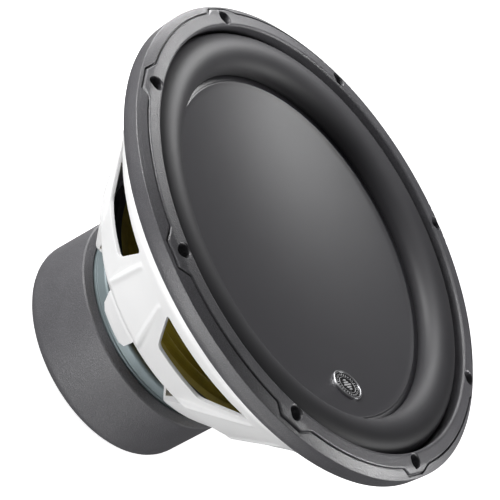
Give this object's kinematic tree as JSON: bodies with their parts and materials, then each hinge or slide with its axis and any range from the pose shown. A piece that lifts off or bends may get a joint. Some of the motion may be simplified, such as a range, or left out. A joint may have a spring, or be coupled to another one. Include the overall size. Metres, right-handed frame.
{
  "type": "car subwoofer driver",
  "caption": "Round car subwoofer driver: bolted flange, spoked pressed-steel basket, rubber surround, dished cone on a moving coil, ferrite motor in a rubber boot.",
  "frame": {"origin": "centre of the bolt circle on the mounting face, which is the rear face of the basket's flange", "axes": "+Z along the driver's axis, out of the cone; +X through one bolt hole; the badge is towards +Y"},
  "size_m": [0.3172, 0.3172, 0.1769],
  "materials": {
    "ring_rubber": "matte moulded rubber",
    "white_paint": "satin white paint on pressed steel",
    "surround_rubber": "smooth satin rubber",
    "cone_plastic": "satin moulded polypropylene",
    "badge_metal": "polished",
    "badge_black": null,
    "spider_cloth": "resin-treated olive-gold cloth",
    "black_plastic": "matte black",
    "former_foil": "bare",
    "copper_wire": "enamelled copper winding",
    "tinsel_copper": "braided",
    "button_red": "glossy",
    "button_black": "glossy",
    "spring_steel": "plain",
    "contact_brass": "plain",
    "zinc_fastener": "zinc plated",
    "zinc_plate": "bright zinc plating",
    "ferrite": "fired ferrite",
    "bare_aluminium": "turned",
    "boot_rubber": "matte moulded rubber"
  },
  "bodies": {
    "chassis": {"trim_ring": "ring_rubber", "basket": "white_paint", "surround": "surround_rubber", "spider": "spider_cloth", "spider_ring": "black_plastic", "tinsel_lead_red": "tinsel_copper", "tinsel_lead_black": "tinsel_copper", "terminal_block": "black_plastic", "button_spring_red": "spring_steel", "button_spring_black": "spring_steel", "contact_red": "contact_brass", "contact_black": "contact_brass", "terminal_rivet": "zinc_fastener", "top_plate": "zinc_plate", "magnet_front": "ferrite", "magnet_rear": "ferrite", "back_plate_and_pole": "zinc_plate", "shorting_ring": "bare_aluminium", "magnet_boot": "boot_rubber", "foot_screws": "zinc_fastener"},
    "cone_assembly": {"cone_dish": "cone_plastic", "cone_neck": "cone_plastic", "badge_bezel": "badge_metal", "badge_face": "badge_black", "voice_coil_former": "former_foil", "voice_coil": "copper_wire"},
    "red_button": {"button_red": "button_red"},
    "black_button": {"button_black": "button_black"}
  },
  "joints": [
    {"name": "cone_travel", "type": "slide", "parent": "chassis", "child": "cone_assembly", "axis": [0, 0, 1], "range_m": [-0.015, 0.015], "stiffness_N_per_m": 4500, "deforming": ["surround", "spider", "tinsel_lead_red", "tinsel_lead_black"]},
    {"name": "red_button_press", "type": "slide", "parent": "chassis", "child": "red_button", "axis": [0, 0, 1], "range_m": [0, 0.003], "stiffness_N_per_m": 500, "deforming": ["button_spring_red"]},
    {"name": "black_button_press", "type": "slide", "parent": "chassis", "child": "black_button", "axis": [0, 0, 1], "range_m": [0, 0.003], "stiffness_N_per_m": 500, "deforming": ["button_spring_black"]}
  ]
}
